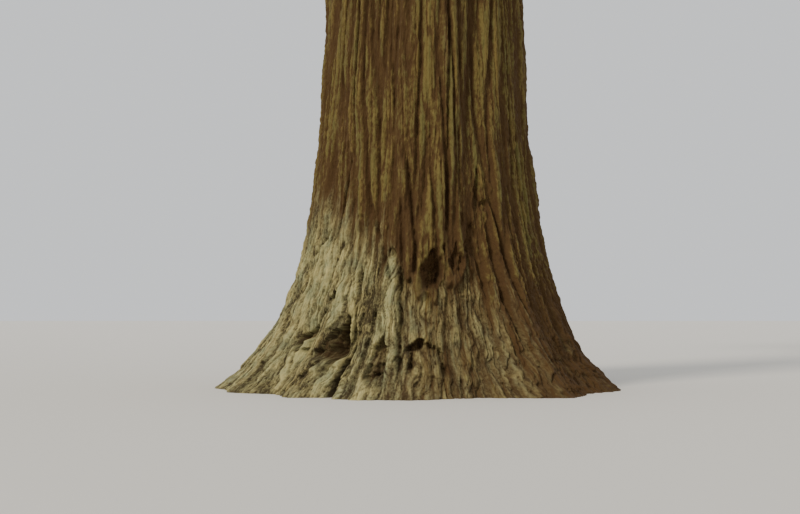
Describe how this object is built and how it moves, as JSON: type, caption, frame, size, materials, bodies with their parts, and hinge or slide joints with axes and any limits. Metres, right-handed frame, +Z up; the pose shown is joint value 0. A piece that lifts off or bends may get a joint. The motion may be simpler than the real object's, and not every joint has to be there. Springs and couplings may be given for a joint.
{
  "type": "redwood tree",
  "caption": "Old coast redwood: a tall fluted trunk flaring into buttress roots, bare below, with drooping boughs of flat sprays above, cut flat at ground level.",
  "frame": {"origin": "middle of the flat cut under the trunk, at ground level", "axes": "+Z up the trunk; -Y towards the side that the picture shows; +X to the viewer's right"},
  "size_m": [11.0322, 10.3858, 40],
  "materials": {
    "bark": "thick fibrous bark, matte",
    "limb_bark": "thin flaky bark, matte",
    "needles": "flat green sprays, satin"
  },
  "bodies": {
    "root": {"trunk": "bark", "bough_01": "limb_bark", "bough_02": "limb_bark", "bough_03": "limb_bark", "bough_04": "limb_bark", "bough_05": "limb_bark", "bough_06": "limb_bark", "bough_07": "limb_bark", "bough_08": "limb_bark", "bough_09": "limb_bark", "bough_10": "limb_bark", "bough_11": "limb_bark", "bough_12": "limb_bark", "bough_13": "limb_bark", "bough_14": "limb_bark", "bough_15": "limb_bark", "bough_16": "limb_bark", "bough_17": "limb_bark", "bough_18": "limb_bark", "foliage_01": "needles", "foliage_02": "needles", "foliage_03": "needles", "foliage_04": "needles", "foliage_05": "needles", "foliage_06": "needles", "foliage_07": "needles", "foliage_08": "needles", "foliage_09": "needles", "foliage_10": "needles", "foliage_11": "needles", "foliage_12": "needles", "foliage_13": "needles", "foliage_14": "needles", "foliage_15": "needles", "foliage_16": "needles", "foliage_17": "needles", "foliage_18": "needles", "foliage_19": "needles", "foliage_20": "needles", "foliage_21": "needles", "foliage_22": "needles", "foliage_23": "needles", "foliage_24": "needles", "foliage_25": "needles", "foliage_26": "needles", "foliage_27": "needles", "foliage_28": "needles", "foliage_29": "needles", "foliage_30": "needles", "foliage_31": "needles", "foliage_32": "needles", "foliage_33": "needles", "foliage_leader": "needles"}
  },
  "joints": []
}
